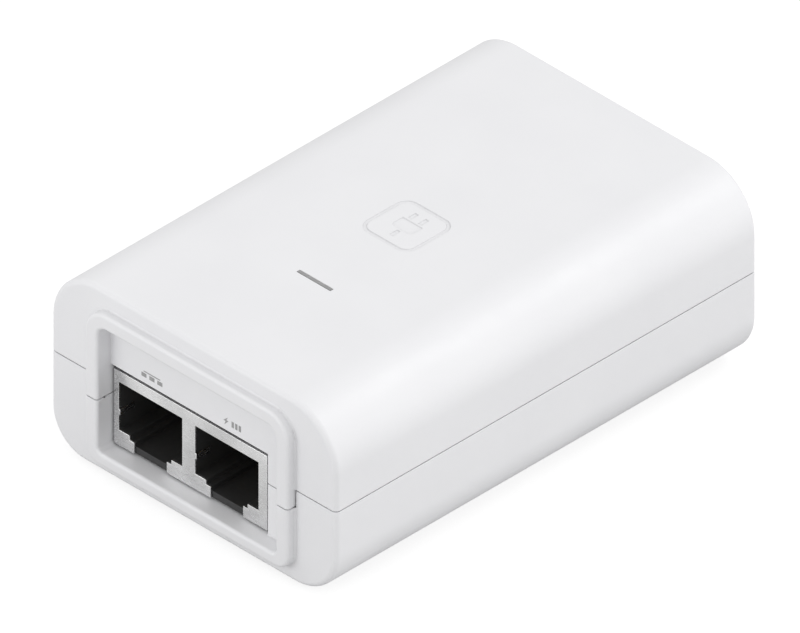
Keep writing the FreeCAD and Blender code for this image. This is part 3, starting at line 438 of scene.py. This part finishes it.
# Radius on the sharp edges of each moulded or stamped sub-part, in millimetres.
EDGE_RADII = {
    "top_shell": 0.1,
    "bottom_shell": 0.1,
    "jack_shield": 0.05,
    "jack_housing": 0.08,
    "inlet_housing": 0.12,
    "inlet_pins": 0.45,
    "led_light_pipe": 0.06,
    "rubber_feet": 0.15,
    "fuse": 0.4,
    "bridge_rectifier": 0.15,
    "x_capacitor": 0.15,
    "bulk_capacitor": 0.15,
    "output_capacitors": 0.15,
    "transformer_core": 0.2,
    "transformer_bobbin": 0.15,
    "transformer_winding": 0.4,
    "switching_transistor": 0.12,
    "heat_sink": 0.12,
    "output_diode": 0.1,
    "output_inductor_core": 0.12,
    "indicator_led": 0.1,
    "contact_carriers": 0.1,
}


def soften_parts(finishes):
    """Rounds the sharp edges of the moulded and stamped sub-parts."""
    for node, radius in EDGE_RADII.items():
        slot = SLOTS[node]
        mesh = softened(node, radius * MM)
        piece = add_piece(f"{node}_soft", mesh, finishes[slot], BODIES[node], [node])
        weigh_normals(piece)


def finish_nodes(finishes):
    """Gives every CAD sub-part that stays in view its finish."""
    for node, thing in NODES.items():
        thing.data.materials.clear()
        thing.data.materials.append(finishes[SLOTS[node]].material)


# ---- pictograms ----


def prism(work, points, low, high, place):
    """A flat shape between two depths. place turns (across, up, depth) into a point of the part."""
    rings = [[work.verts.new(place(u, v, depth)) for u, v in points] for depth in (low, high)]
    work.faces.new(rings[0][::-1])
    work.faces.new(rings[1])
    for one in range(len(points)):
        other = (one + 1) % len(points)
        work.faces.new((rings[0][one], rings[0][other], rings[1][other], rings[1][one]))


def bar(left, low, right, high):
    """The corners of an upright rectangle."""
    return [(left, low), (right, low), (right, high), (left, high)]


SIGN_HEIGHT = 18.75 * MM
SIGN_THICKNESS = 0.03
# Where each sign stands along X, and its shapes in millimetres from its middle. The first has three
# blocks under a line, and the second a bolt beside three bars.
SIGNS = {
    "network_sign": (
        -8.75 * MM,
        [
            bar(-1.9, -0.5, -1.0, 0.1),
            bar(-0.45, -0.5, 0.45, 0.1),
            bar(1.0, -0.5, 1.9, 0.1),
            bar(-1.5, 0.3, 1.5, 0.45),
        ],
    ),
    "power_sign": (
        6.15 * MM,
        [
            [(-1.6, -0.65), (-0.9, 0.12), (-1.3, 0.12), (-1.0, 0.65), (-1.8, -0.05), (-1.4, -0.05)],
            bar(-0.3, -0.5, 0.1, 0.4),
            bar(0.35, -0.5, 0.75, 0.4),
            bar(1.0, -0.5, 1.4, 0.4),
        ],
    ),
}


def port_sign(name, shapes, x, finish):
    """A small printed sign on the sunk panel above a port."""
    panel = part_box("jack_shield")[0].y - JACK_SETBACK
    work = bmesh.new()

    def place(u, v, depth):
        return Vector((x + u * MM, panel - depth * MM, SIGN_HEIGHT + v * MM))

    for points in shapes:
        prism(work, points, 0.0, SIGN_THICKNESS, place)
    bmesh.ops.recalc_face_normals(work, faces=work.faces)
    mesh = bpy.data.meshes.new(name)
    work.to_mesh(mesh)
    work.free()
    add_piece(name, mesh, finish, "case")


def port_signs(finish):
    """The signs above the two ports."""
    for name, (x, shapes) in SIGNS.items():
        port_sign(name, shapes, x, finish)


# ---- surroundings ----

VIEW_CENTRE = Vector((0.41, -1.14, 14.95)) * MM
VIEW_WIDTH = 103.58 * MM
VIEW_DISTANCE = 0.6
VIEW_DIRECTION = Vector((1, -1, 1)).normalized()

# The sky's strength as a light, and as the plain backdrop in view.
SKY_LIGHT = 0.88
SKY_IN_VIEW = 1.05
# The floor's tones as a light, as a glow and a matt skin in view, and in the metal's reflections.
FLOOR_BOUNCE = (grey(0.49), grey(0.52))
FLOOR_GLOW = grey(0.82)
FLOOR_IN_VIEW = grey(0.24)
FLOOR_IN_GLOSS = grey(0.74)
FLOOR_SEGMENTS = 8
FLOOR_HALF_WIDTH = 2.0
# Softboxes: place, width in metres and power in watts.
SOFTBOXES = {
    "back_softbox": ((0.28, 0.46, 0.6), 0.3, 1.15),
    "right_softbox": ((0.55, 0.1, 0.2), 0.4, 0.84),
    "front_softbox": ((-0.22, -0.36, 0.12), 0.2, 0.22),
    "corner_softbox": ((-0.02, -0.17, 0.035), 0.1, 0.038),
}


def add_camera():
    """A parallel view along a diagonal, from above the front right corner."""
    lens = bpy.data.cameras.new("diagonal_view")
    lens.type = "ORTHO"
    lens.ortho_scale = VIEW_WIDTH
    camera = bpy.data.objects.new("diagonal_view", lens)
    camera.location = VIEW_CENTRE + VIEW_DIRECTION * VIEW_DISTANCE
    camera.rotation_euler = VIEW_DIRECTION.to_track_quat("Z", "Y").to_euler()
    bpy.context.scene.collection.objects.link(camera)
    bpy.context.scene.camera = camera


def add_softbox(name, place, width, power):
    """A square area light that faces the object."""
    light = bpy.data.lights.new(name, "AREA")
    light.shape = "SQUARE"
    light.size = width
    light.energy = power
    lamp = bpy.data.objects.new(name, light)
    lamp.location = place
    lamp.rotation_euler = (lamp.location - VIEW_CENTRE).to_track_quat("Z", "Y").to_euler()
    bpy.context.scene.collection.objects.link(lamp)


def add_lights():
    """An even white sky with softboxes: above and behind, to the right, ahead, and low by the ports."""
    world = bpy.data.worlds.new("studio")
    world.use_nodes = True
    background = world.node_tree.nodes["Background"]
    background.inputs["Color"].default_value = (*grey(1.0), 1)
    rays = world.node_tree.nodes.new("ShaderNodeLightPath")
    strength = world.node_tree.nodes.new("ShaderNodeMapRange")
    strength.inputs["To Min"].default_value = SKY_LIGHT
    strength.inputs["To Max"].default_value = SKY_IN_VIEW
    world.node_tree.links.new(rays.outputs["Is Camera Ray"], strength.inputs["Value"])
    world.node_tree.links.new(strength.outputs["Result"], background.inputs["Strength"])
    bpy.context.scene.world = world
    bpy.context.scene.view_settings.view_transform = "Standard"
    for name, (place, width, power) in SOFTBOXES.items():
        add_softbox(name, Vector(place), width, power)


def floor_finish():
    """White paper that glows in view, so that shadows on it are faint, yet bounces a soft grey light."""
    paper = Finish("floor")
    paper.colour(paper.noise(feature=0.2), *FLOOR_BOUNCE)
    paper.roughness(paper.noise(feature=0.05), low=0.85, high=0.95)
    paper.set(Specular_IOR_Level=0.0)
    glow = paper.node("ShaderNodeEmission")
    glow.inputs["Color"].default_value = (*FLOOR_GLOW, 1)
    seen = paper.node("ShaderNodeAddShader")
    paper.link(glow.outputs["Emission"], seen.inputs[0])
    paper.link(flat_card(paper, FLOOR_IN_VIEW), seen.inputs[1])
    rays = paper.node("ShaderNodeLightPath")
    surface = paper.shader.outputs["BSDF"]
    mirrored = flat_card(paper, FLOOR_IN_GLOSS)
    for ray, other in (("Is Glossy Ray", mirrored), ("Is Camera Ray", seen.outputs["Shader"])):
        choice = paper.node("ShaderNodeMixShader")
        paper.link(rays.outputs[ray], choice.inputs["Fac"])
        paper.link(surface, choice.inputs[1])
        paper.link(other, choice.inputs[2])
        surface = choice.outputs["Shader"]
    output = next(node for node in paper.tree.nodes if node.type == "OUTPUT_MATERIAL")
    paper.link(surface, output.inputs["Surface"])
    return paper


def flat_card(finish, tone):
    """A matt shader in one tone."""
    card = finish.node("ShaderNodeBsdfDiffuse")
    card.inputs["Color"].default_value = (*tone, 1)
    return card.outputs["BSDF"]


def add_floor():
    """A plain pale floor under the feet."""
    work = bmesh.new()
    bmesh.ops.create_grid(
        work, x_segments=FLOOR_SEGMENTS, y_segments=FLOOR_SEGMENTS, size=FLOOR_HALF_WIDTH
    )
    mesh = bpy.data.meshes.new("floor")
    work.to_mesh(mesh)
    work.free()
    mesh.materials.append(floor_finish().material)
    floor = bpy.data.objects.new("floor", mesh)
    bpy.context.scene.collection.objects.link(floor)


def main():
    """Dresses the frame's parts, adds the signs and sets up the studio."""
    finishes = make_finishes()
    finish_nodes(finishes)
    soften_parts(finishes)
    port_signs(printed_ink())
    add_camera()
    add_lights()
    add_floor()


main()
